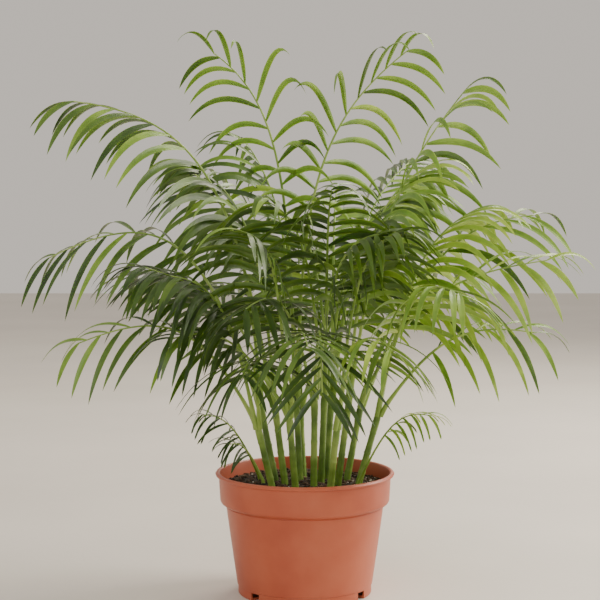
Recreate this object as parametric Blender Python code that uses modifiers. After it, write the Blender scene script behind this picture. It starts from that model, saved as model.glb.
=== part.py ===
# Parlor palm in a round plastic nursery pot, with its soil, canes and fronds.
# The rules below work in millimetres; meshes are made in metres, +Z up, front towards -Y.
# The origin is the middle of the pot's flat underside.

import math
import random

import bmesh
import bpy
import numpy as np
from mathutils import Matrix, Vector
from mathutils.bvhtree import BVHTree

MM = 0.001
GAP = 0.3
UP = np.array((0.0, 0.0, 1.0))

# Pot, soil and drain slots
POT_HEIGHT = 121.0
LIP_DIAMETER = 178.0
COLLAR_TOP_DIAMETER = 171.0
COLLAR_FOOT_DIAMETER = 168.6
COLLAR_FOOT_Z = 93.5
WALL_TOP_DIAMETER = 157.0
BASE_DIAMETER = 133.0
FOOT_LINE_Z = 9.0
WALL = 1.8
FLOOR = 2.4
POT_SIDES = 40
SLOT_HEADINGS = (223.0, 326.0, 43.0, 146.0)
SLOT_WIDTH = 11.0
SLOT_HEIGHT = 8.0
SLOT_DEPTH = 9.0
SOIL_BELOW_LIP = 12.0
SOIL_TOP = POT_HEIGHT - SOIL_BELOW_LIP

# Canes: a golden-angle spiral of feet, leaning out more towards the rim
CANE_COUNT = 14
CLUMP_RADIUS = 48.0
CLUMP_SHIFT = 7.0
GOLDEN_ANGLE = 137.508
CANE_FOOT_RADIUS = 4.0
CANE_TOP_RADIUS = 3.4
CANE_HEIGHT_MIDDLE = 96.0
CANE_HEIGHT_LOSS = 30.0
CANE_LEVEL_END = 4.0

# Fronds
STALK_RADIUS = 1.6
STALK_TIP_RADIUS = 0.9
STALK_RINGS = 9
STALK_SPREAD = 2.1
KNEE = 1.5
LEAFLET_SHAPE = 9.0
LEAFLET_THICKNESS = 0.0125
LEAFLET_RINGS = (0.30, 0.68)
LEAFLET_ROOT_SHARE = 0.15
CLEARANCE = 0.5

# Each frond: cane it grows from (or its own foot on the soil), heading, reach and rise of its tip,
# share of the reach and height where it bends over, bare share, leaflet length, roll, leaflet pairs
FRONDS = {
    "left_high": (4, 190, 192, 296, 0.24, 280, 0.40, 112, -12, 8),
    "left_high_behind": (9, 125, 145, 235, 0.25, 205, 0.42, 100, -20, 8),
    "left_middle": (9, 178, 212, 146, 0.34, 216, 0.36, 108, -24, 8),
    "left_middle_front": (4, 214, 145, 140, 0.32, 112, 0.40, 100, -25, 8),
    "left_low": (12, 190, 172, 84, 0.38, 126, 0.34, 92, -30, 8),
    "left_low_behind": (7, 205, 120, 78, 0.50, 95, 0.45, 75, -25, 7),
    "left_small": ((-44, 12), 195, 60, 68, 0.50, 68, 0.45, 42, -30, 5),
    "left_small_low": ((-40, -8), 205, 38, 42, 0.55, 46, 0.50, 38, -30, 4),
    "top_left": (1, 178, 80, 338, 0.05, 284, 0.48, 95, 48, 8),
    "top_left_behind": (1, 130, 80, 252, 0.12, 189, 0.45, 95, 30, 8),
    "top_right": (1, 4, 108, 340, 0.02, 258, 0.48, 100, -46, 8),
    "top_behind": (3, 85, 90, 215, 0.25, 194, 0.45, 85, 0, 7),
    "right_high": (5, 8, 112, 306, 0.25, 204, 0.40, 112, -36, 8),
    "right_high_behind": (3, 55, 150, 240, 0.25, 192, 0.42, 105, 10, 8),
    "right_middle": (8, 5, 172, 190, 0.42, 182, 0.38, 114, 30, 8),
    "right_bright": (8, 335, 192, 150, 0.32, 130, 0.40, 98, 42, 8),
    "right_low": (13, 342, 152, 84, 0.43, 96, 0.40, 86, 32, 8),
    "right_small": ((50, -28), 335, 78, 76, 0.50, 82, 0.50, 46, 20, 4),
    "front_star": (2, 272, 150, 24, 0.62, 112, 0.52, 88, 0, 6),
    "right_inner_high": (5, 25, 88, 235, 0.20, 200, 0.42, 100, -30, 8),
    "left_inner_high": (4, 165, 85, 235, 0.20, 200, 0.42, 100, 20, 8),
    "front_left": (7, 243, 80, 178, 0.25, 166, 0.40, 100, -20, 7),
    "front_right": (2, 312, 85, 160, 0.25, 152, 0.40, 100, 20, 7),
    "middle_left": (0, 215, 65, 190, 0.25, 171, 0.40, 100, 20, 7),
    "middle_right": (0, 15, 85, 195, 0.25, 176, 0.40, 100, -25, 7),
    "right_inner": (13, 12, 100, 200, 0.35, 170, 0.40, 105, -10, 7),
    "right_under": (8, 40, 150, 130, 0.45, 143, 0.40, 95, 10, 7),
    "left_inner": (12, 215, 95, 150, 0.35, 142, 0.40, 95, -20, 7),
}

# Fronds that fill the crown on the other sides: cane, heading, and whether they stand or arch
FILLING = (
    (0, 270, "upright"), (2, 225, "arching"), (3, 110, "upright"), (6, 90, "upright"),
    (6, 135, "arching"), (6, 45, "arching"), (7, 265, "arching"), (9, 150, "arching"),
    (10, 285, "arching"), (10, 325, "upright"), (11, 80, "arching"), (11, 60, "upright"),
    (11, 100, "upright"), (12, 262, "arching"), (13, 310, "arching"),
)
FILLING_PAIRS = 6
FILLING_BARE = 0.42
FILLING_SEED = 5

# Fronds whose two rows lie in one plane, and one whose leaflets hardly sink
FLAT_BLADES = ("frond_top_left", "frond_top_right")
SCRAP_FACES = 8
STIFF_FROND = "frond_front_star"
CANE_SEED = 11

# Ways that a leaflet may give when it would touch another: turned up, turned out, shortened
GIVES = ((0, 0, 1.0), (9, 0, 1.0), (-9, 0, 1.0), (0, 8, 1.0), (0, -8, 1.0), (18, 0, 1.0), (-18, 0, 1.0),
         (9, 8, 0.85), (-9, -8, 0.85), (0, 0, 0.75), (14, 0, 0.7), (-14, 0, 0.7), (0, 0, 0.55))


def clear_scene():
    for ob in list(bpy.data.objects):
        bpy.data.objects.remove(ob, do_unlink=True)


def new_collection(name):
    group = bpy.data.collections.new(name)
    bpy.context.scene.collection.children.link(group)
    return group


def plain_material(name, colour, roughness):
    mat = bpy.data.materials.new(name)
    mat.use_nodes = True
    shader = mat.node_tree.nodes["Principled BSDF"]
    shader.inputs["Base Color"].default_value = (*colour, 1.0)
    shader.inputs["Roughness"].default_value = roughness
    shader.inputs["Metallic"].default_value = 0.0
    return mat


def mesh_object(name, points, faces, group, mat):
    mesh = bpy.data.meshes.new(name)
    mesh.from_pydata([tuple(p * MM) for p in np.asarray(points, dtype=float)], [], faces)
    mesh.materials.append(mat)
    ob = bpy.data.objects.new(name, mesh)
    group.objects.link(ob)
    return ob


def turned(name, profile, group, mat):
    """Turn a profile of (radius, height) round the Z axis"""
    points = [(r, 0.0, z) for r, z in profile]
    edges = [(i, i + 1) for i in range(len(points) - 1)]
    mesh = bpy.data.meshes.new(name)
    mesh.from_pydata([tuple(c * MM for c in p) for p in points], edges, [])
    mesh.materials.append(mat)
    ob = bpy.data.objects.new(name, mesh)
    group.objects.link(ob)
    screw = ob.modifiers.new("turn", "SCREW")
    screw.axis = "Z"
    screw.steps = POT_SIDES
    screw.render_steps = POT_SIDES
    screw.use_merge_vertices = True
    screw.merge_threshold = 0.00005
    screw.use_smooth_shade = True
    return ob


# Pot: a moulded wall with a rolled lip, a deep collar, a shoulder and a flat base

def inner_radius(z):
    """Inside of the pot's wall at a height"""
    low, high = BASE_DIAMETER / 2 - WALL, WALL_TOP_DIAMETER / 2 - WALL
    collar = COLLAR_TOP_DIAMETER / 2 - WALL
    if z > COLLAR_FOOT_Z:
        return collar
    return low + (high - low) * z / (COLLAR_FOOT_Z - 6.0)


def pot_profile():
    lip = LIP_DIAMETER / 2
    collar_top = COLLAR_TOP_DIAMETER / 2
    collar_foot = COLLAR_FOOT_DIAMETER / 2
    wall_top = WALL_TOP_DIAMETER / 2
    base = BASE_DIAMETER / 2
    top = POT_HEIGHT
    shoulder = COLLAR_FOOT_Z
    inside = [
        (0.0, FLOOR),
        (inner_radius(FLOOR), FLOOR),
        (wall_top - WALL, shoulder - 6.5),
        (collar_foot - WALL - 0.4, shoulder - 0.5),
        (collar_top - WALL, top - 4.0),
        (lip - 4.4, top - 0.8),
        (lip - 3.0, top),
    ]
    rolled_lip = [
        (lip - 0.9, top - 0.4),
        (lip, top - 1.7),
        (lip - 0.6, top - 3.2),
        (collar_top + 0.4, top - 4.0),
    ]
    collar = [
        (collar_top, top - 5.0),
        (collar_foot, shoulder),
        (collar_foot - 1.0, shoulder - 2.4),
        (collar_foot - 3.4, shoulder - 4.1),
        (wall_top + 0.1, shoulder - 4.7),
    ]
    wall = [
        (wall_top - 0.6, shoulder - 5.5),
        (wall_top - 0.2, shoulder - 6.3),
        (base + 0.9, FOOT_LINE_Z + 0.5),
        (base + 0.1, FOOT_LINE_Z - 0.2),
        (base, 0.8),
        (base - 0.8, 0.0),
        (0.0, 0.0),
    ]
    return inside + rolled_lip + collar + wall


def add_drain_slots(pot, cutters):
    for i, turn in enumerate(SLOT_HEADINGS):
        a = math.radians(turn)
        r = BASE_DIAMETER / 2
        size = (SLOT_DEPTH * 2, SLOT_WIDTH, SLOT_HEIGHT * 2)
        bpy.ops.mesh.primitive_cube_add(size=1.0)
        slot = bpy.context.active_object
        slot.name = f"drain_slot_{i}"
        slot.data.transform(Matrix.Diagonal((*[side * MM for side in size], 1.0)))
        slot.location = (r * math.cos(a) * MM, r * math.sin(a) * MM, 0.0)
        slot.rotation_euler = (0.0, 0.0, a)
        for holder in list(slot.users_collection):
            holder.objects.unlink(slot)
        cutters.objects.link(slot)
        slot.display_type = "WIRE"
        slot.hide_render = True
        cut = pot.modifiers.new(slot.name, "BOOLEAN")
        cut.operation = "DIFFERENCE"
        cut.solver = "EXACT"
        cut.object = slot


def soil_profile():
    z_low = FLOOR + GAP
    shoulder = COLLAR_FOOT_Z
    wall = WALL_TOP_DIAMETER / 2 - WALL
    collar = COLLAR_FOOT_DIAMETER / 2 - WALL
    top_radius = COLLAR_TOP_DIAMETER / 2 - WALL - 1.0
    return [
        (0.0, SOIL_TOP),
        (top_radius - 1.0, SOIL_TOP),
        (collar - 1.2, shoulder - 0.2),
        (wall - 0.8, shoulder - 6.6),
        (inner_radius(z_low) - 0.6, z_low),
        (0.0, z_low),
    ]


# Canes

def heading_vector(degrees):
    a = math.radians(degrees)
    return np.array((math.cos(a), math.sin(a), 0.0))


def cane_places():
    """Foot and top of every cane"""
    dice = random.Random(CANE_SEED)
    places = []
    for i in range(CANE_COUNT):
        share = math.sqrt((i + 0.5) / CANE_COUNT)
        way = heading_vector(i * GOLDEN_ANGLE)
        foot = way * CLUMP_RADIUS * share + np.array((CLUMP_SHIFT, 0.0, SOIL_TOP + GAP))
        height = CANE_HEIGHT_MIDDLE - CANE_HEIGHT_LOSS * share + dice.uniform(-8, 8)
        lean = math.radians(1 + 15 * share ** 1.5)
        top = foot + way * height * math.tan(lean) + UP * height
        places.append((foot, top))
    return places


def add_cane(name, foot, top, group, mat):
    """A tapering tube, cut level at both ends"""
    curve = bpy.data.curves.new(name, "CURVE")
    curve.dimensions = "3D"
    curve.bevel_depth = CANE_FOOT_RADIUS * MM
    curve.bevel_resolution = 1
    curve.use_fill_caps = True
    level = UP * CANE_LEVEL_END
    points = (foot, foot + level, top - level, top)
    spline = curve.splines.new("POLY")
    spline.points.add(len(points) - 1)
    for k, p in enumerate(points):
        share = k / (len(points) - 1)
        spline.points[k].co = (*(p * MM), 1.0)
        spline.points[k].radius = 1 + (CANE_TOP_RADIUS / CANE_FOOT_RADIUS - 1) * share
    curve.materials.append(mat)
    ob = bpy.data.objects.new(name, curve)
    group.objects.link(ob)
    return ob


# Frond stalks

def unit(v):
    return v / np.linalg.norm(v)


def frond_rows():
    """The named fronds, then those that fill the other sides by a seeded rule"""
    rows = [(f"frond_{name}", *row) for name, row in FRONDS.items()]
    dice = random.Random(FILLING_SEED)
    for k, (cane, turn, kind) in enumerate(FILLING):
        turn += dice.uniform(-12, 12)
        front = 1.0 if 0 <= turn <= 180 else 0.8
        if kind == "upright":
            reach = dice.uniform(80, 115) * front
            rise = dice.uniform(150, 215)
            bend = (0.25, rise * 0.88)
        else:
            reach = dice.uniform(135, 175) * front
            rise = dice.uniform(60, 130)
            bend = (0.4, rise * 0.9 + 35)
        leaf = dice.uniform(85, 100)
        roll = dice.uniform(-15, 15)
        rows.append((f"frond_{kind}_{k + 1:02d}", cane, turn, reach, rise, *bend,
                     FILLING_BARE, leaf, roll, FILLING_PAIRS))
    return rows


def stalk_feet(rows, canes):
    """Where each stalk starts: spread round the top of its cane, or on the soil"""
    feet = {}
    for i, (foot, top) in enumerate(canes):
        mine = sorted((row for row in rows if row[1] == i), key=lambda row: row[2] % 360)
        count = len(mine)
        mean = sum(row[2] % 360 - 360 * k / count for k, row in enumerate(mine)) / max(count, 1)
        for k, row in enumerate(mine):
            feet[row[0]] = top + heading_vector(mean + 360 * k / count) * STALK_SPREAD + UP * GAP
    for row in rows:
        if isinstance(row[1], tuple):
            feet[row[0]] = np.array((*row[1], SOIL_TOP + GAP), dtype=float)
    return feet


def stalk_path(foot, turn, reach, rise, bend_share, bend_height):
    """Points of the stalk: a conic arc from its foot, past the bend, to its tip"""
    way = heading_vector(turn)
    tip = foot + way * reach + UP * rise
    bend = foot + way * reach * bend_share + UP * bend_height
    t = np.linspace(0, 1, STALK_RINGS)[:, None]
    a, b, c = (1 - t) ** 2, 2 * t * (1 - t) * KNEE, t ** 2
    return (a * foot + b * bend + c * tip) / (a + b + c)


def along(path, share):
    """Point and direction at a share of a path's length"""
    steps = np.diff(path, axis=0)
    run = np.concatenate(([0.0], np.cumsum(np.linalg.norm(steps, axis=1))))
    want = share * run[-1]
    i = min(int(np.searchsorted(run, want, side="right")) - 1, len(steps) - 1)
    part = (want - run[i]) / (run[i + 1] - run[i])
    return path[i] + steps[i] * part, unit(steps[i])


def loft(rings, tip=None):
    """Skin over three-point rings, closed at its ends, or drawn to a point at the tip"""
    points = [p for ring in rings for p in ring]
    faces = [(0, 2, 1)]
    for r in range(len(rings) - 1):
        for k in range(3):
            a, b = 3 * r + k, 3 * r + (k + 1) % 3
            faces += [(a, b, b + 3, a + 3)] if r == 0 else [(a, b, b + 3), (a, b + 3, a + 3)]
    last = 3 * (len(rings) - 1)
    if tip is None:
        faces.append((last, last + 1, last + 2))
    else:
        points.append(tip)
        faces += [(last + k, last + (k + 1) % 3, last + 3) for k in range(3)]
    return points, faces


def stalk_skin(path, turn):
    """A three-sided tube along the stalk, level at its foot, with one edge on top"""
    steps = [unit(step) for step in np.diff(path, axis=0)]
    across = np.cross(UP, heading_vector(turn))
    rings = []
    for k, centre in enumerate(path):
        ahead = UP if k == 0 else unit(steps[k - 1] + steps[min(k, len(steps) - 1)])
        upper = np.cross(ahead, across)
        radius = STALK_RADIUS + (STALK_TIP_RADIUS - STALK_RADIUS) * k / (len(path) - 1)
        turns = [math.radians(120 * j) for j in range(3)]
        rings.append([centre + radius * (upper * math.cos(a) - across * math.sin(a)) for a in turns])
    return loft(rings)


# Leaflets

def leaflet_line(root, ahead, side, upper, angle, lift, droop, length, steps=12):
    """Centre line and directions of a leaflet that leaves its stalk and sinks under its weight"""
    a, v = math.radians(angle), math.radians(lift)
    start = math.cos(a) * ahead + math.sin(a) * (side * math.cos(v) + upper * math.sin(v))
    points = [root]
    for k in range(steps):
        u = (k + 0.5) / steps
        points.append(points[-1] + unit(start - droop * u ** 1.6 * UP) * length / steps)
    return np.array(points)


def width_share(u):
    """Width of a leaflet along its length, 1 at its widest"""
    return u ** 0.55 * (1 - u) ** 0.85 / 0.489


def leaflet_skin(line, ahead, upper, width, thickness, margin=0.0):
    """A thin three-sided blade: flat above, with the midrib as a keel below"""
    rings = []
    flat, turned_over = ahead, None
    for u in LEAFLET_RINGS:
        centre, way = along(line, u)
        flat = unit(flat - (flat @ way) * way)
        below = np.cross(flat, way)
        if turned_over is None:
            turned_over = below @ upper > 0
        below = -below if turned_over else below
        half = width * width_share(u) / 2 + margin
        depth = thickness * (1.15 - 0.5 * u) + margin
        ring = [centre + flat * half - below * margin, centre - flat * half - below * margin,
                centre + below * depth]
        rings.append(ring if turned_over else ring[::-1])
    middle = along(line, LEAFLET_RINGS[0])[0]
    root = [line[0] + (p - middle) * LEAFLET_ROOT_SHARE for p in rings[0]]
    tip = line[-1] + unit(line[-1] - line[-2]) * margin * 2
    return loft([root] + rings, tip)


def frond_leaflets(row, path, pairs):
    """Root, directions and sizes of every leaflet of a frond, in pairs from the lowest up"""
    name, _, turn, _, _, _, _, bare, leaf, roll, _ = row
    dice = random.Random(name)
    across0 = np.cross(UP, heading_vector(turn))
    r = math.radians(roll)
    flat_blade = name in FLAT_BLADES
    stiff = 0.4 if name == STIFF_FROND else 1.0
    for k in range(pairs):
        for hand in (-1, 1):
            t = (k + 0.5 + 0.18 * hand) / (pairs - 0.3)
            root, ahead = along(path, bare + (1 - bare) * t)
            upper0 = unit(np.cross(ahead, across0))
            across = across0 * math.cos(r) + upper0 * math.sin(r)
            upper = upper0 * math.cos(r) - across0 * math.sin(r)
            length = leaf * (1 - 0.32 * (2 * t - 0.85) ** 2) * dice.uniform(0.94, 1.06)
            angle = 74 - 38 * t + dice.uniform(-4, 4)
            lift = (0 if flat_blade else -8 - 18 * abs(ahead[2])) * stiff + dice.uniform(-8, 8)
            droop = stiff * (1.25 + 0.35 * t + dice.uniform(-0.3, 0.3))
            yield root, ahead, across * hand, upper, angle, lift, droop, length


class Space:
    """Keeps the skins already placed, and tells whether a new one would touch any"""

    def __init__(self):
        self.lows, self.highs, self.trees, self.owners = [], [], [], []

    def add(self, owner, points, faces):
        points = np.asarray(points)
        self.lows.append(points.min(0))
        self.highs.append(points.max(0))
        self.trees.append(BVHTree.FromPolygons([Vector(p) for p in points], faces))
        self.owners.append(owner)

    def touches(self, owner, points, faces):
        points = np.asarray(points)
        low, high = points.min(0), points.max(0)
        near = np.all((np.array(self.lows) < high) & (np.array(self.highs) > low), axis=1)
        tree = BVHTree.FromPolygons([Vector(p) for p in points], faces)
        for i in np.nonzero(near)[0]:
            if self.owners[i] != owner and tree.overlap(self.trees[i]):
                return True
        return False


def drop_scraps(mesh):
    """Drop the slivers that a union leaves beside the frond"""
    shape = bmesh.new()
    shape.from_mesh(mesh)
    left = set(shape.faces)
    scraps = []
    while left:
        body, rest = [], [left.pop()]
        while rest:
            face = rest.pop()
            body.append(face)
            for side in face.edges:
                if len(side.link_faces) == 2:
                    for other in side.link_faces:
                        if other in left:
                            left.remove(other)
                            rest.append(other)
        if len(body) <= SCRAP_FACES:
            scraps.extend(body)
            print("scrap dropped from", mesh.name)
    bmesh.ops.delete(shape, geom=scraps, context="FACES")
    shape.to_mesh(mesh)
    shape.free()


def fuse(stalk, leaflets):
    """Join a frond's leaflets to its stalk in one union"""
    group = bpy.data.collections.new("leaflets")
    for ob in leaflets:
        group.objects.link(ob)
    join = stalk.modifiers.new("join", "BOOLEAN")
    join.operation = "UNION"
    join.solver = "EXACT"
    join.operand_type = "COLLECTION"
    join.collection = group
    ready = stalk.evaluated_get(bpy.context.evaluated_depsgraph_get())
    whole = bpy.data.meshes.new_from_object(ready)
    stalk.modifiers.clear()
    drop_scraps(whole)
    stalk.data = whole
    for ob in leaflets:
        bpy.data.objects.remove(ob, do_unlink=True)
    bpy.data.collections.remove(group)


def add_fronds(group, mat, canes):
    rows = frond_rows()
    feet = stalk_feet(rows, canes)
    paths = {row[0]: stalk_path(feet[row[0]], *row[2:7]) for row in rows}
    space = Space()
    for i, (foot, top) in enumerate(canes):
        ends = [[p + CANE_FOOT_RADIUS * heading_vector(120 * j) * 1.4 for j in range(3)] for p in (foot, top)]
        space.add(f"cane_{i}", *loft(ends))
    for row in rows:
        space.add(row[0], *stalk_skin(paths[row[0]], row[2]))
    placed = 0
    for row in rows:
        name, leaf, pairs = row[0], row[8], row[10]
        path = paths[name]
        stalk = mesh_object(name, *stalk_skin(path, row[2]), group, mat)
        leaflets = []
        for root, ahead, side, upper, angle, lift, droop, length in frond_leaflets(row, path, pairs):
            for more_lift, more_angle, shorter in GIVES:
                size = length * shorter
                line = leaflet_line(root, ahead, side, upper, angle + more_angle, lift + more_lift, droop, size)
                width, thick = leaf / LEAFLET_SHAPE, length * LEAFLET_THICKNESS
                if not space.touches(name, *leaflet_skin(line, ahead, upper, width, thick, CLEARANCE)):
                    skin = leaflet_skin(line, ahead, upper, width, thick)
                    space.add(name, *skin)
                    leaflets.append(mesh_object(f"{name}_leaflet", *skin, group, mat))
                    placed += 1
                    break
        for ob in leaflets:
            group.objects.unlink(ob)
        fuse(stalk, leaflets)
    print("leaflets placed:", placed)


clear_scene()
palm = new_collection("potted_parlor_palm")
cutters = new_collection("cutters")
terracotta = plain_material("terracotta_plastic", (0.38, 0.085, 0.035), 0.42)
potting_mix = plain_material("potting_mix", (0.030, 0.020, 0.013), 0.95)
cane_green = plain_material("cane_green", (0.16, 0.27, 0.035), 0.5)
leaf_green = plain_material("leaf_green", (0.085, 0.19, 0.02), 0.45)
pot = turned("pot", pot_profile(), palm, terracotta)
add_drain_slots(pot, cutters)
turned("soil", soil_profile(), palm, potting_mix)
cane_list = cane_places()
for number, (cane_foot, cane_top) in enumerate(cane_list):
    add_cane(f"cane_{number + 1:02d}", cane_foot, cane_top, palm, cane_green)
add_fronds(palm, leaf_green, cane_list)
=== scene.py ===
import math
import random

import bpy
import numpy as np
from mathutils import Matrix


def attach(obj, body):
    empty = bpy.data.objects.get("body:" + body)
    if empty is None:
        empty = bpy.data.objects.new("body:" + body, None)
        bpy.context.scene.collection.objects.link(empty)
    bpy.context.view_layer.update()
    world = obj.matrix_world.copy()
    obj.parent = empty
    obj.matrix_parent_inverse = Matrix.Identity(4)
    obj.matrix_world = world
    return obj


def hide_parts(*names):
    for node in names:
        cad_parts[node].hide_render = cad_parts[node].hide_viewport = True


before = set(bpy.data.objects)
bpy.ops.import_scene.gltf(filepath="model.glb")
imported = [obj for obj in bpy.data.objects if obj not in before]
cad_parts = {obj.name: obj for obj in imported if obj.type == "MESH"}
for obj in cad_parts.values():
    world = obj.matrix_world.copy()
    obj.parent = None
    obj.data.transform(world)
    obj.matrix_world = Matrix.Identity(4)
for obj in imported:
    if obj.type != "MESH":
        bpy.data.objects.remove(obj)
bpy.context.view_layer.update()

# Camera and studio: the view from the front, a little above the crown's middle, with a long lens.
# A pale floor, a large soft light high on the right, and weaker ones in front and behind.
PHOTO_SIDE = 600
FOCAL_PIXELS = 1625
SENSOR = 36.0
CAMERA_PLACE = (-0.0048, -1.6, 0.4175)
CAMERA_DIP = math.radians(4.5)

bpy.ops.object.select_all(action="DESELECT")
bpy.ops.object.camera_add(location=CAMERA_PLACE, rotation=(math.pi / 2 - CAMERA_DIP, 0.0, 0.0))
camera = bpy.context.active_object
camera.data.sensor_width = SENSOR
camera.data.lens = SENSOR * FOCAL_PIXELS / PHOTO_SIDE
bpy.context.scene.camera = camera


def linear(hex_colour):
    """Linear colour of an sRGB hex value"""
    parts = [int(hex_colour[i:i + 2], 16) / 255 for i in (1, 3, 5)]
    return tuple(c / 12.92 if c <= 0.04045 else ((c + 0.055) / 1.055) ** 2.4 for c in parts) + (1.0,)


def add_node(tree, kind, settings=None, inputs=None):
    """Add a node with its settings, and its inputs as values or links"""
    node = tree.nodes.new(kind)
    for key, value in (settings or {}).items():
        setattr(node, key, value)
    for key, value in (inputs or {}).items():
        if isinstance(value, bpy.types.NodeSocket):
            tree.links.new(value, node.inputs[key])
        else:
            node.inputs[key].default_value = value
    return node


def start_material(name, colour, roughness, **sockets):
    """A material whose shader starts from its colour and roughness"""
    material = bpy.data.materials.new(name)
    material.use_nodes = True
    tree = material.node_tree
    shader = tree.nodes["Principled BSDF"]
    shader.inputs["Base Color"].default_value = linear(colour)
    shader.inputs["Roughness"].default_value = roughness
    for key, value in sockets.items():
        shader.inputs[key.replace("_", " ")].default_value = value
    return material, tree, shader


def mottle(tree, shader, colours, scale, detail=4.0, low=0.35, high=0.65):
    """Colour that drifts between given ones, in blotches; scale is their count in a metre"""
    place = add_node(tree, "ShaderNodeTexCoord")
    noise = add_node(tree, "ShaderNodeTexNoise", {}, {"Vector": place.outputs["Object"], "Scale": scale,
                                                      "Detail": detail})
    ramp = add_node(tree, "ShaderNodeValToRGB", {}, {"Fac": noise.outputs["Fac"]})
    stops = ramp.color_ramp.elements
    while len(stops) < len(colours):
        stops.new(0.5)
    for k, colour in enumerate(colours):
        stops[k].position = low + (high - low) * k / (len(colours) - 1)
        stops[k].color = linear(colour)
    tree.links.new(ramp.outputs["Color"], shader.inputs["Base Color"])
    return place


def grain(tree, shader, place, scale, depth, strength=1.0, detail=3.0):
    """Fine relief all over a surface, by noise; scale is its grains in a metre, depth is in metres"""
    noise = add_node(tree, "ShaderNodeTexNoise", {}, {"Vector": place.outputs["Object"], "Scale": scale,
                                                      "Detail": detail})
    bump = add_node(tree, "ShaderNodeBump", {}, {"Height": noise.outputs["Fac"], "Distance": depth,
                                                 "Strength": strength})
    tree.links.new(bump.outputs["Normal"], shader.inputs["Normal"])


FLOOR_SIDE = 8.0
bpy.ops.mesh.primitive_plane_add(size=FLOOR_SIDE)
floor = bpy.context.active_object
floor.name = "floor"
floor_paint, floor_tree, floor_shader = start_material("matt_floor_paint", "#D9D2C8", 0.6)
grain(floor_tree, floor_shader, mottle(floor_tree, floor_shader, ("#D6CFC5", "#DDD6CC"), 3.0), 90.0, 0.0003)
floor.data.materials.append(floor_paint)

world = bpy.data.worlds.new("studio")
bpy.context.scene.world = world
world.use_nodes = True
world.node_tree.nodes["Background"].inputs["Color"].default_value = linear("#E6DED4")
world.node_tree.nodes["Background"].inputs["Strength"].default_value = 0.85


LAMP_AIM = (0.0, 0.0, 0.3)


def soft_light(name, place, side, power, colour):
    """A square lamp turned towards the middle of the plant"""
    bpy.ops.object.light_add(type="AREA", location=place)
    lamp = bpy.context.active_object
    lamp.name = name
    lamp.data.size = side
    lamp.data.energy = power
    lamp.data.color = linear(colour)[:3]
    away = np.array(place) - np.array(LAMP_AIM)
    lamp.rotation_euler = (math.atan2(math.hypot(away[0], away[1]), away[2]), 0.0,
                           math.atan2(away[1], away[0]) + math.pi / 2)


soft_light("window_right", (1.5, 0.35, 1.1), 1.0, 42.0, "#FFF8EC")
soft_light("front_fill", (-0.7, -1.9, 1.3), 1.4, 16.0, "#FFFFFF")
soft_light("back_right", (0.7, 1.5, 1.5), 0.9, 22.0, "#FFF6E4")

# Pot: terracotta-coloured polypropylene, injection moulded in one piece, with a rolled lip, a deep
# collar to lift it by, a shoulder, a tapered wall and four drain slots in the bottom edge.
MM = 0.001
POT_SIDES = 128
POT_PROFILE = (
    (64.6, 2.4), (70.5, 60.0), (76.7, 87.0), (82.1, 93.0), (83.7, 117.0), (84.6, 120.2), (86.0, 121.0),
    (88.1, 120.6), (89.0, 119.3), (88.4, 117.8), (86.2, 117.1), (85.6, 116.6), (85.5, 116.0),
    (84.9, 104.0), (84.3, 93.6), (84.0, 92.4), (83.3, 91.1), (82.0, 90.0), (80.9, 89.4), (78.9, 88.9),
    (78.4, 88.5), (78.0, 88.0), (78.1, 87.5), (78.4, 87.1), (74.7, 60.0), (70.9, 33.0), (67.5, 9.4),
    (66.9, 9.1), (66.5, 8.8), (66.5, 0.9), (66.3, 0.3), (65.7, 0.0),
)
SLOT_HEADINGS = (223.0, 326.0, 43.0, 146.0)
SLOT_MIDDLE_RADIUS = 66.5
SLOT_SIZE = (18.0, 11.0, 16.0)
END_HOLE = 0.02


def turn_profile(name, profile, sides):
    """Draw a ring out step by step through a profile of (radius, height), and close both ends"""
    bpy.ops.object.select_all(action="DESELECT")
    radius, height = profile[0]
    bpy.ops.mesh.primitive_circle_add(vertices=sides, radius=radius * MM, fill_type="NGON",
                                      location=(0.0, 0.0, height * MM))
    ob = bpy.context.active_object
    ob.name = name
    bpy.ops.object.transform_apply(location=True, rotation=True, scale=True)
    bpy.ops.object.mode_set(mode="EDIT")
    bpy.ops.mesh.delete(type="ONLY_FACE")
    bpy.ops.mesh.select_all(action="SELECT")
    bpy.ops.mesh.extrude_region()
    bpy.ops.transform.resize(value=(END_HOLE, END_HOLE, 1.0), center_override=(0.0, 0.0, 0.0))
    bpy.ops.mesh.edge_face_add()
    bpy.ops.mesh.select_all(action="DESELECT")
    bpy.ops.object.mode_set(mode="OBJECT")
    for vert in ob.data.vertices:
        vert.select = math.hypot(vert.co.x, vert.co.y) > 0.5 * radius * MM
    bpy.ops.object.mode_set(mode="EDIT")
    bpy.ops.mesh.select_mode(type="VERT")
    for (r0, z0), (r1, z1) in zip(profile, profile[1:]):
        bpy.ops.mesh.extrude_region()
        bpy.ops.transform.translate(value=(0.0, 0.0, (z1 - z0) * MM))
        bpy.ops.transform.resize(value=(r1 / r0, r1 / r0, 1.0), center_override=(0.0, 0.0, 0.0))
    bpy.ops.mesh.extrude_region()
    bpy.ops.transform.resize(value=(END_HOLE, END_HOLE, 1.0), center_override=(0.0, 0.0, 0.0))
    bpy.ops.mesh.edge_face_add()
    bpy.ops.mesh.select_all(action="SELECT")
    bpy.ops.mesh.normals_make_consistent(inside=False)
    bpy.ops.object.mode_set(mode="OBJECT")
    return ob


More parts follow.
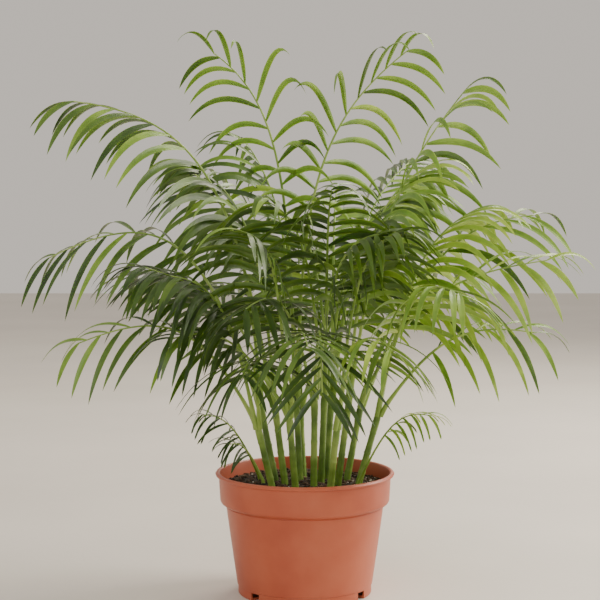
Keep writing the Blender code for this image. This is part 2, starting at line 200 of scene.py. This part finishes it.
pot = turn_profile("pot_shell", POT_PROFILE, POT_SIDES)
for turn in SLOT_HEADINGS:
    a = math.radians(turn)
    r = SLOT_MIDDLE_RADIUS * MM
    bpy.ops.mesh.primitive_cube_add(size=1.0, location=(r * math.cos(a), r * math.sin(a), 0.0),
                                    rotation=(0.0, 0.0, a), scale=[side * MM for side in SLOT_SIZE])
    cutter = bpy.context.active_object
    cut = pot.modifiers.new("slot", "BOOLEAN")
    cut.object = cutter
    cut.operation = "DIFFERENCE"
    bpy.ops.object.select_all(action="DESELECT")
    bpy.context.view_layer.objects.active = pot
    bpy.ops.object.modifier_apply(modifier=cut.name)
    bpy.data.objects.remove(cutter, do_unlink=True)
bpy.ops.object.select_all(action="DESELECT")
pot.select_set(True)
bpy.context.view_layer.objects.active = pot
bpy.ops.object.shade_smooth_by_angle(angle=math.radians(35))

# Polypropylene is a waxy, slightly translucent plastic: a broad soft sheen over an even colour,
# a little paler in places, with the faint orange-peel of a matt mould.
plastic, tree, shader = start_material("moulded_polypropylene", "#B5573A", 0.42, IOR=1.49)
place = mottle(tree, shader, ("#AD5034", "#B85B3D", "#BE6446"), 14.0)
shader.inputs["Subsurface Weight"].default_value = 0.06
shader.inputs["Subsurface Radius"].default_value = (0.004, 0.002, 0.001)
grain(tree, shader, place, 900.0, 0.00008, 0.5)
pot.data.materials.clear()
pot.data.materials.append(plastic)
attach(pot, "root")
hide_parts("pot")

# Potting mix: peat and bark crumbs, loose and dark, a finger's width below the lip, with a few
# pale grains of perlite. A bed is raised and dented, then crumbs are strewn over it.
SOIL_TOP = 109.0
SOIL_RADIUS = 82.2
SOIL_RINGS = 40
SOIL_SIDES = 120
BED_FOOT_SHARE = 0.95
BED_FOOT_Z = 96.0
CRUMBS = 1500
CRUMB_SIZES = (0.7, 2.4)
PALE_GRAINS = 90
GRAIN_SIZES = (0.6, 1.4)
STREWN_MARGIN = 2.5
SOIL_SEED = 21
soil_dice = random.Random(SOIL_SEED)


def soil_height(x, y):
    """Height of the bed: low waves, sunk a little at the wall"""
    edge = (math.hypot(x, y) / SOIL_RADIUS) ** 6
    waves = math.sin(x * 0.13 + 1.0) * math.cos(y * 0.11) + 0.6 * math.sin(x * 0.31 + y * 0.27)
    fine = 0.7 * math.sin(x * 0.9 + 2 * math.sin(y * 0.7)) * math.cos(y * 1.1 + x * 0.2)
    return SOIL_TOP - 0.6 + 0.9 * waves + 0.7 * fine - 1.6 * edge


def plain_piece(name, points, faces, material, smooth=None):
    """A piece from points in millimetres"""
    mesh = bpy.data.meshes.new(name)
    mesh.from_pydata((np.asarray(points, dtype=float) * MM).tolist(), [], faces)
    mesh.materials.append(material)
    ob = bpy.data.objects.new(name, mesh)
    bpy.context.scene.collection.objects.link(ob)
    if smooth is not None:
        mesh.shade_smooth()
        mesh.set_sharp_from_angle(angle=math.radians(smooth))
    return ob


bed_points = [(0.0, 0.0, soil_height(0, 0))]
for i in range(1, SOIL_RINGS + 1):
    for j in range(SOIL_SIDES):
        a = 2 * math.pi * j / SOIL_SIDES
        r = SOIL_RADIUS * i / SOIL_RINGS
        bed_points.append((r * math.cos(a), r * math.sin(a), soil_height(r * math.cos(a), r * math.sin(a))))
bed_faces = [(0, 1 + j, 1 + (j + 1) % SOIL_SIDES) for j in range(SOIL_SIDES)]
for i in range(SOIL_RINGS - 1):
    for j in range(SOIL_SIDES):
        p, q = 1 + i * SOIL_SIDES + j, 1 + i * SOIL_SIDES + (j + 1) % SOIL_SIDES
        bed_faces.append((p, p + SOIL_SIDES, q + SOIL_SIDES, q))
low = len(bed_points)
bed_points += [(p[0] * BED_FOOT_SHARE, p[1] * BED_FOOT_SHARE, BED_FOOT_Z) for p in bed_points[-SOIL_SIDES:]]
for j in range(SOIL_SIDES):
    p, q = low - SOIL_SIDES + j, low - SOIL_SIDES + (j + 1) % SOIL_SIDES
    bed_faces.append((p, p + SOIL_SIDES, q + SOIL_SIDES, q))
bed_faces.append(tuple(range(low + SOIL_SIDES - 1, low - 1, -1)))

# Moist peat: almost black-brown, quite without shine, rough down to the size of its fibres.
peat, tree, shader = start_material("moist_peat", "#2C2018", 0.95)
grain(tree, shader, mottle(tree, shader, ("#1D1510", "#33261C", "#4A382A"), 240.0), 500.0, 0.0012, 1.0, 6.0)
bed = plain_piece("soil_bed", bed_points, bed_faces, peat, 60)
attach(bed, "root")
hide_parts("soil")


def strewn(name, count, sizes, material, dice):
    """Angular crumbs strewn over the bed, joined in one piece"""
    bpy.ops.mesh.primitive_ico_sphere_add(subdivisions=1, radius=1.0)
    model = bpy.context.active_object
    shape = np.array([v.co[:] for v in model.data.vertices])
    sides = [tuple(p.vertices) for p in model.data.polygons]
    bpy.data.objects.remove(model, do_unlink=True)
    points, faces = [], []
    for _ in range(count):
        r = (SOIL_RADIUS - STREWN_MARGIN) * math.sqrt(dice.random())
        a = dice.uniform(0, 2 * math.pi)
        size = dice.uniform(*sizes)
        stretch = np.array([size * dice.uniform(0.6, 1.3) for _ in range(3)])
        dents = np.array([[dice.uniform(0.75, 1.2)] for _ in range(len(shape))])
        t = dice.uniform(0, math.pi)
        lump = shape * stretch * dents
        lump = np.column_stack((lump[:, 0] * math.cos(t) - lump[:, 1] * math.sin(t),
                                lump[:, 0] * math.sin(t) + lump[:, 1] * math.cos(t), lump[:, 2] * 0.8))
        x, y = r * math.cos(a), r * math.sin(a)
        base = len(points)
        points += (lump + (x, y, soil_height(x, y) + size * 0.35)).tolist()
        faces += [tuple(base + v for v in side) for side in sides]
    ob = plain_piece(name, points, faces, material)
    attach(ob, "root")


bark, tree, shader = start_material("bark_crumb", "#4A3627", 0.9)
grain(tree, shader, mottle(tree, shader, ("#241A13", "#4B3829", "#6B523C"), 130.0), 700.0, 0.0005)
perlite, tree, shader = start_material("perlite", "#C9C0B0", 0.85)
grain(tree, shader, mottle(tree, shader, ("#B5AA98", "#D8D0C2"), 200.0), 900.0, 0.0004)
strewn("soil_crumbs", CRUMBS, CRUMB_SIZES, bark, soil_dice)
strewn("soil_grains", PALE_GRAINS, GRAIN_SIZES, perlite, soil_dice)

# Canes: green fibrous stems in one clump, spread in a golden-angle spiral and leaning out more
# towards the rim. Each is ringed by the scars of fallen leaves and sheathed at its top.
UP = np.array((0.0, 0.0, 1.0))
GAP = 0.3
CANE_COUNT = 14
CLUMP_RADIUS = 48.0
CLUMP_SHIFT = 7.0
GOLDEN_ANGLE = 137.508
CANE_SEED = 11
CANE_HEIGHT_MIDDLE = 96.0
CANE_HEIGHT_LOSS = 30.0
SCAR_SEED = 31
FIRST_SCAR = (8, 16)
SCAR_SPACING = (17, 24)
CANE_SIDES = 14
CANE_RINGS = 40
CANE_FOOT_RADIUS = 3.5
CANE_TAPER = 0.6
CANE_SINK = 2.5
SCAR_RISE = 0.45
SCAR_WIDTH = 1.1
SHEATH_START = 0.72
SHEATH_RISE = 0.5
NECK_START = 0.94
NECK_TAPER = 1.2


def heading_vector(degrees):
    a = math.radians(degrees)
    return np.array((math.cos(a), math.sin(a), 0.0))


def unit(v):
    return v / np.linalg.norm(v)


def cane_places():
    """Foot and top of every cane"""
    dice = random.Random(CANE_SEED)
    places = []
    for i in range(CANE_COUNT):
        share = math.sqrt((i + 0.5) / CANE_COUNT)
        way = heading_vector(i * GOLDEN_ANGLE)
        foot = way * CLUMP_RADIUS * share + np.array((CLUMP_SHIFT, 0.0, SOIL_TOP + GAP))
        height = CANE_HEIGHT_MIDDLE - CANE_HEIGHT_LOSS * share + dice.uniform(-8, 8)
        lean = math.radians(1 + 15 * share ** 1.5)
        places.append((foot, foot + way * height * math.tan(lean) + UP * height))
    return places


def tube(centres, radii, sides):
    """Points and faces of a closed tube along given centres"""
    centres = np.asarray(centres)
    steps = np.diff(centres, axis=0)
    steps /= np.linalg.norm(steps, axis=1)[:, None]
    turns = 2 * math.pi * np.arange(sides) / sides
    points = []
    across = np.array((1.0, 0.0, 0.0))
    for k, centre in enumerate(centres):
        ahead = unit(steps[max(k - 1, 0)] + steps[min(k, len(steps) - 1)])
        across = unit(across - (across @ ahead) * ahead)
        other = np.cross(ahead, across)
        points += [centre + radii[k] * (math.cos(t) * across + math.sin(t) * other) for t in turns]
    last = (len(centres) - 1) * sides
    faces = [tuple(range(sides - 1, -1, -1)), tuple(range(last, last + sides))]
    for k in range(len(centres) - 1):
        for j in range(sides):
            p, q = k * sides + j, k * sides + (j + 1) % sides
            faces.append((p, q, q + sides, p + sides))
    return points, faces


def joined(parts):
    """One list of points and one of faces from many"""
    points, faces = [], []
    for some_points, some_faces in parts:
        base = len(points)
        points += list(some_points)
        faces += [tuple(base + v for v in face) for face in some_faces]
    return points, faces


cane_dice = random.Random(SCAR_SEED)
cane_list = cane_places()
cane_parts = []
for foot, top in cane_list:
    first_scar = cane_dice.uniform(*FIRST_SCAR)
    spacing = cane_dice.uniform(*SCAR_SPACING)
    length = np.linalg.norm(top - foot)
    centres, radii = [], []
    for k in range(CANE_RINGS + 1):
        s = k / CANE_RINGS
        along_cane = s * length
        near_scar = abs((along_cane - first_scar + spacing / 2) % spacing - spacing / 2)
        scar = SCAR_RISE * math.exp(-(near_scar / SCAR_WIDTH) ** 2)
        sheath = SHEATH_RISE * min(1.0, max(0.0, (s - SHEATH_START) / 0.1))
        neck = NECK_TAPER * max(0.0, (s - NECK_START) / (1 - NECK_START))
        centres.append(foot - UP * CANE_SINK * (k == 0) + (top - foot) * s)
        radii.append(CANE_FOOT_RADIUS - CANE_TAPER * s + scar + sheath - neck)
    cane_parts.append(tube(centres, radii, CANE_SIDES))

# Young palm cane: smooth and waxy, mid green with paler, yellower blotches, with a low even shine
# and a fine relief.
cane_skin, tree, shader = start_material("young_palm_cane", "#6E8C34", 0.42, IOR=1.45)
place = mottle(tree, shader, ("#4C6A22", "#6F8E36", "#8FA850"), 34.0)
grain(tree, shader, place, 420.0, 0.0003, 0.6)
canes = plain_piece("canes", *joined(cane_parts), cane_skin, 50)
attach(canes, "root")
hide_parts(*[f"cane_{i + 1:02d}" for i in range(CANE_COUNT)])

# Fronds: each is a long thin stalk that arches out of its cane, and narrow folded leaflets in two
# rows along its outer part, largest just below the middle. Stalk and blades are one growth.
# The rows give: cane (or own foot on the soil), heading, reach and rise of the tip, share of the reach
# and height where it bends over, bare share, leaflet length, roll, and the lightness of its green, which is
# painted
# light and shade: lighter for fronds on the right and on top where the lamp falls, darker on the left and
# in front.
KNEE = 1.5
STALK_SPREAD = 2.1
FRONDS = {
    "left_high": (4, 190, 192, 296, 0.24, 280, 0.40, 112, -12, "mid"),
    "left_high_behind": (9, 125, 145, 235, 0.25, 205, 0.42, 100, -20, "mid"),
    "left_middle": (9, 178, 212, 146, 0.34, 216, 0.36, 108, -24, "mid"),
    "left_middle_front": (4, 214, 145, 140, 0.32, 112, 0.40, 100, -25, "deep"),
    "left_low": (12, 190, 172, 84, 0.38, 126, 0.34, 92, -30, "mid"),
    "left_low_behind": (7, 205, 120, 78, 0.50, 95, 0.45, 75, -25, "deep"),
    "left_small": ((-44, 12), 195, 60, 68, 0.50, 68, 0.45, 42, -30, "deep"),
    "left_small_low": ((-40, -8), 205, 38, 42, 0.55, 46, 0.50, 38, -30, "deep"),
    "top_left": (1, 178, 80, 338, 0.05, 284, 0.48, 95, 48, "bright"),
    "top_left_behind": (1, 130, 80, 252, 0.12, 189, 0.45, 95, 30, "mid"),
    "top_right": (1, 4, 108, 340, 0.02, 258, 0.48, 100, -46, "bright"),
    "top_behind": (3, 85, 90, 215, 0.25, 194, 0.45, 85, 0, "mid"),
    "right_high": (5, 8, 112, 306, 0.25, 204, 0.40, 112, -36, "bright"),
    "right_high_behind": (3, 55, 150, 240, 0.25, 192, 0.42, 105, 10, "mid"),
    "right_middle": (8, 5, 172, 190, 0.42, 182, 0.38, 114, 30, "bright"),
    "right_bright": (8, 335, 192, 150, 0.32, 130, 0.40, 98, 42, "sunlit"),
    "right_low": (13, 342, 152, 84, 0.43, 96, 0.40, 86, 32, "bright"),
    "right_small": ((50, -28), 335, 78, 76, 0.50, 82, 0.50, 46, 20, "bright"),
    "front_star": (2, 272, 150, 24, 0.62, 112, 0.52, 88, 0, "deep"),
    "right_inner_high": (5, 25, 88, 235, 0.20, 200, 0.42, 100, -30, "bright"),
    "left_inner_high": (4, 165, 85, 235, 0.20, 200, 0.42, 100, 20, "mid"),
    "front_left": (7, 243, 80, 178, 0.25, 166, 0.40, 100, -20, "mid"),
    "front_right": (2, 312, 85, 160, 0.25, 152, 0.40, 100, 20, "mid"),
    "middle_left": (0, 215, 65, 190, 0.25, 171, 0.40, 100, 20, "mid"),
    "middle_right": (0, 15, 85, 195, 0.25, 176, 0.40, 100, -25, "mid"),
    "right_inner": (13, 12, 100, 200, 0.35, 170, 0.40, 105, -10, "sunlit"),
    "right_under": (8, 40, 150, 130, 0.45, 143, 0.40, 95, 10, "mid"),
    "left_inner": (12, 215, 95, 150, 0.35, 142, 0.40, 95, -20, "deep"),
}
FILLING = (
    (0, 270, "upright"), (2, 225, "arching"), (3, 110, "upright"), (6, 90, "upright"),
    (6, 135, "arching"), (6, 45, "arching"), (7, 265, "arching"), (9, 150, "arching"),
    (10, 285, "arching"), (10, 325, "upright"), (11, 80, "arching"), (11, 60, "upright"),
    (11, 100, "upright"), (12, 262, "arching"), (13, 310, "arching"),
)
FILLING_BARE = 0.42
FILLING_SEED = 5
FILLING_TURN = 12
FRONT_REACH = 0.8
UPRIGHT_REACH = (80, 115)
UPRIGHT_RISE = (150, 215)
ARCHING_REACH = (135, 175)
ARCHING_RISE = (60, 130)
FILLING_LEAF = (85, 100)
FILLING_ROLL = (-15, 15)
# The filling fronds take the steps of painted light and shade in turn.
FILLING_PAINTED_LIGHT_TONES = ("mid", "deep", "bright")
FLAT_BLADES = ("frond_top_left", "frond_top_right")
STIFF_FROND = "frond_front_star"
STIFFNESS = 0.4


def frond_rows():
    """The named fronds, then those that fill the other sides by a seeded rule"""
    rows = [(f"frond_{name}", *row) for name, row in FRONDS.items()]
    dice = random.Random(FILLING_SEED)
    for k, (cane, turn, kind) in enumerate(FILLING):
        turn += dice.uniform(-FILLING_TURN, FILLING_TURN)
        front = 1.0 if 0 <= turn <= 180 else FRONT_REACH
        if kind == "upright":
            reach = dice.uniform(*UPRIGHT_REACH) * front
            rise = dice.uniform(*UPRIGHT_RISE)
            bend = (0.25, rise * 0.88)
        else:
            reach = dice.uniform(*ARCHING_REACH) * front
            rise = dice.uniform(*ARCHING_RISE)
            bend = (0.4, rise * 0.9 + 35)
        leaf = dice.uniform(*FILLING_LEAF)
        roll = dice.uniform(*FILLING_ROLL)
        painted_light_tone = FILLING_PAINTED_LIGHT_TONES[k % len(FILLING_PAINTED_LIGHT_TONES)]
        name = f"frond_{kind}_{k + 1:02d}"
        rows.append((name, cane, turn, reach, rise, *bend, FILLING_BARE, leaf, roll, painted_light_tone))
    return rows


def stalk_feet(rows, places):
    """Where each stalk starts: spread round the top of its cane, or on the soil"""
    feet = {}
    for i, (foot, top) in enumerate(places):
        mine = sorted((row for row in rows if row[1] == i), key=lambda row: row[2] % 360)
        count = len(mine)
        mean = sum(row[2] % 360 - 360 * k / count for k, row in enumerate(mine)) / max(count, 1)
        for k, row in enumerate(mine):
            feet[row[0]] = top + heading_vector(mean + 360 * k / count) * STALK_SPREAD + UP * GAP
    for row in rows:
        if isinstance(row[1], tuple):
            feet[row[0]] = np.array((*row[1], SOIL_TOP + GAP), dtype=float)
    return feet


def stalk_path(foot, turn, reach, rise, bend_share, bend_height, count):
    """Points of the stalk: a conic arc from its foot, past the bend, to its tip"""
    way = heading_vector(turn)
    tip = foot + way * reach + UP * rise
    bend = foot + way * reach * bend_share + UP * bend_height
    t = np.linspace(0, 1, count)[:, None]
    a, b, c = (1 - t) ** 2, 2 * t * (1 - t) * KNEE, t ** 2
    return (a * foot + b * bend + c * tip) / (a + b + c)


def along(path, share):
    """Point and direction at a share of a path's length"""
    steps = np.diff(path, axis=0)
    run = np.concatenate(([0.0], np.cumsum(np.linalg.norm(steps, axis=1))))
    want = share * run[-1]
    i = min(int(np.searchsorted(run, want, side="right")) - 1, len(steps) - 1)
    part = (want - run[i]) / (run[i + 1] - run[i])
    return path[i] + steps[i] * part, unit(steps[i])


STALK_STEPS = 32
STALK_SIDES = 8
STALK_RADIUS = 1.75
STALK_TAPER = 1.15
STALK_SWELL = 0.9
STALK_SINK = 3.0
SMALL_STALK = 0.7
rows = frond_rows()
feet = stalk_feet(rows, cane_list)
paths = {row[0]: stalk_path(feet[row[0]], *row[2:7], STALK_STEPS + 1) for row in rows}
stalk_parts = []
for row in rows:
    path = paths[row[0]].copy()
    small = SMALL_STALK if isinstance(row[1], tuple) else 1.0
    share = np.linspace(0, 1, len(path))
    radii = small * (STALK_RADIUS - STALK_TAPER * share + STALK_SWELL * np.exp(-(share / 0.07) ** 2))
    path[0] -= UP * STALK_SINK
    stalk_parts.append(tube(path, radii, STALK_SIDES))

# Leaf stalk: pale fresh green, smooth, a little glossier than the cane.
stalk_skin, tree, shader = start_material("leaf_stalk", "#93B04E", 0.36, IOR=1.45)
place = mottle(tree, shader, ("#6C8C30", "#88A646", "#A2BA60"), 22.0)
grain(tree, shader, place, 500.0, 0.00015, 0.5)
stalks = plain_piece("frond_stalks", *joined(stalk_parts), stalk_skin, 60)
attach(stalks, "root")

# Leaflets: thin, lance-shaped, folded in a shallow V along the midrib, sunk by their own weight.
# Each is a closed blade with its own outline, drawn from its stalk by the fronds' rule.
LEAFLET_STEPS = 12
OPEN_SPACING = 20.0
CLOSE_SPACING = 11.0
SMALL_SPACING = 9.0
LEAFLET_SHAPE = 12.5
LEAFLET_THICKNESS = 0.35
LEAFLET_ROOT_WIDTH = 1.8
SMALL_LEAF = 60
FEWEST_PAIRS = 6
ANGLE_LOW = 74
ANGLE_LOSS = 38
ANGLE_SPREAD = 8
LIFT_SPREAD = 12
DROOP_LOW = 1.25
DROOP_GAIN = 0.35
INNER_NAMES = ("inner", "front", "frond_middle", "upright", "arching", "behind")
LEAFLET_FOLD = math.tan(math.radians(17))
ACROSS = np.array((-1.0, -0.5, 0.0, 0.5, 1.0, 0.5, 0.0, -0.5))
FACE_SIDE = np.array((0.0, 0.5, 0.5, 0.5, 0.0, -0.5, -0.5, -0.5))
RING = len(ACROSS)
# Steps of painted light and shade on the leaflets, from painted shade (deep) to painted sunlight (sunlit).
PAINTED_LIGHT_TONES = ("deep", "mid", "bright", "sunlit")
TONE_STEPS = (-1, 0, 0, 0, 0, 0, 1)
TONE_SEED = 41


def leaflet_line(root, ahead, side, upper, angle, lift, droop, length):
    """Centre line of a leaflet that leaves its stalk and sinks under its weight"""
    a, v = math.radians(angle), math.radians(lift)
    start = math.cos(a) * ahead + math.sin(a) * (side * math.cos(v) + upper * math.sin(v))
    points = [root]
    for k in range(LEAFLET_STEPS):
        u = (k + 0.5) / LEAFLET_STEPS
        points.append(points[-1] + unit(start - droop * u ** 1.6 * UP) * length / LEAFLET_STEPS)
    return np.array(points)


def leaflet_blade(line, ahead, upper, width):
    """Rings of points round the blade along its centre line, and the point at its tip"""
    flat, side = ahead, None
    rings = []
    for k in range(LEAFLET_STEPS):
        way = unit(line[k + 1] - line[k])
        flat = unit(flat - (flat @ way) * way)
        above = np.cross(flat, way)
        if side is None:
            side = 1.0 if above @ upper > 0 else -1.0
        above = above * side
        u = max(k / LEAFLET_STEPS, 0.004)
        half = max(width * u ** 0.55 * (1 - u) ** 0.85 / 0.489, LEAFLET_ROOT_WIDTH) / 2
        fold = LEAFLET_FOLD * (1.0 - 0.5 * u)
        heights = np.abs(ACROSS) * half * fold + FACE_SIDE * LEAFLET_THICKNESS
        rings.append(line[k] + np.outer(ACROSS * half, flat) + np.outer(heights, above))
    return np.concatenate(rings + [line[-1][None]]), side


def blade_faces():
    """Faces of a blade: an end on its first ring, sides from ring to ring, and a point"""
    faces = [tuple(range(RING))]
    for k in range(LEAFLET_STEPS):
        for j in range(RING):
            p, q = k * RING + j, k * RING + (j + 1) % RING
            if k < LEAFLET_STEPS - 1:
                faces.append((p, p + RING, q + RING, q))
            else:
                faces.append((p, LEAFLET_STEPS * RING, q))
    return faces


BLADE_FACES = blade_faces()


def frond_leaflets(row, path):
    """Every leaflet of a frond, in pairs from the lowest up"""
    name, _, turn, _, _, _, _, bare, leaf, roll, _ = row
    dice = random.Random(name)
    blade = (1 - bare) * np.linalg.norm(np.diff(path, axis=0), axis=1).sum()
    inner = any(word in name for word in INNER_NAMES)
    spacing = SMALL_SPACING if leaf < SMALL_LEAF else (CLOSE_SPACING if inner else OPEN_SPACING)
    pairs = max(FEWEST_PAIRS, round(blade / spacing))
    flat_blade = name in FLAT_BLADES
    stiff = STIFFNESS if name == STIFF_FROND else 1.0
    across0 = np.cross(UP, heading_vector(turn))
    r = math.radians(roll)
    for k in range(pairs):
        for hand in (-1, 1):
            t = (k + 0.5 + 0.18 * hand) / (pairs - 0.3)
            root, ahead = along(path, bare + (1 - bare) * t)
            upper0 = unit(np.cross(ahead, across0))
            across = across0 * math.cos(r) + upper0 * math.sin(r)
            upper = upper0 * math.cos(r) - across0 * math.sin(r)
            length = leaf * (1 - 0.32 * (2 * t - 0.85) ** 2) * dice.uniform(0.93, 1.05)
            angle = ANGLE_LOW - ANGLE_LOSS * t + dice.uniform(-ANGLE_SPREAD, ANGLE_SPREAD)
            hang = 0 if flat_blade else -8 - 18 * abs(ahead[2])
            lift = hang * stiff + dice.uniform(-LIFT_SPREAD, LIFT_SPREAD)
            droop = stiff * (DROOP_LOW + DROOP_GAIN * t + dice.uniform(-0.35, 0.45))
            line = leaflet_line(root, ahead, across * hand, upper, angle, lift, droop, length)
            yield leaflet_blade(line, ahead, upper, leaf / LEAFLET_SHAPE)


blades = {painted_light_tone: [] for painted_light_tone in PAINTED_LIGHT_TONES}
tone_dice = random.Random(TONE_SEED)
for row in rows:
    own = PAINTED_LIGHT_TONES.index(row[-1])
    for points, side in frond_leaflets(row, paths[row[0]]):
        # Each leaflet takes its frond's step of painted light and shade, now and then one step lighter or
        # darker.
        painted_light_tone = PAINTED_LIGHT_TONES[min(len(PAINTED_LIGHT_TONES) - 1, max(0, own + tone_dice.choice(TONE_STEPS)))]
        faces = BLADE_FACES if side < 0 else [face[::-1] for face in BLADE_FACES]
        blades[painted_light_tone].append((points, faces))

# Palm leaf: a thin waxy skin over green tissue, with a fine relief. It takes a soft shine and lets
# some light in. Each piece has a lighter or darker copy of one green as painted light and shade, mottled
# within.
# Lit and shaded copies of one leaf green: painted shade in deep, painted light and backlight in bright and
# sunlit.
LIT_AND_SHADED_GREENS = {
    "deep": ("#26390F", "#324A15", "#405A1C"),
    "mid": ("#3A5416", "#4A661C", "#5C7826"),
    "bright": ("#5E7E26", "#70902E", "#86A43C"),
    "sunlit": ("#7F9C30", "#94B03C", "#A8C04C"),
}
for painted_light_tone in PAINTED_LIGHT_TONES:
    leaf_skin, tree, shader = start_material(f"palm_leaf_painted_light_{painted_light_tone}", LIT_AND_SHADED_GREENS[painted_light_tone][1], 0.38, IOR=1.45)
    place = mottle(tree, shader, LIT_AND_SHADED_GREENS[painted_light_tone], 30.0)
    shader.inputs["Subsurface Weight"].default_value = 0.15
    shader.inputs["Subsurface Radius"].default_value = (0.0012, 0.0018, 0.0004)
    shader.inputs["Subsurface Scale"].default_value = 1.0
    grain(tree, shader, place, 300.0, 0.0002, 0.4)
    leaflets = plain_piece(f"leaflets_{painted_light_tone}", *joined(blades[painted_light_tone]), leaf_skin, 28)
    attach(leaflets, "root")
    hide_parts(*[row[0] for row in rows if row[-1] == painted_light_tone])
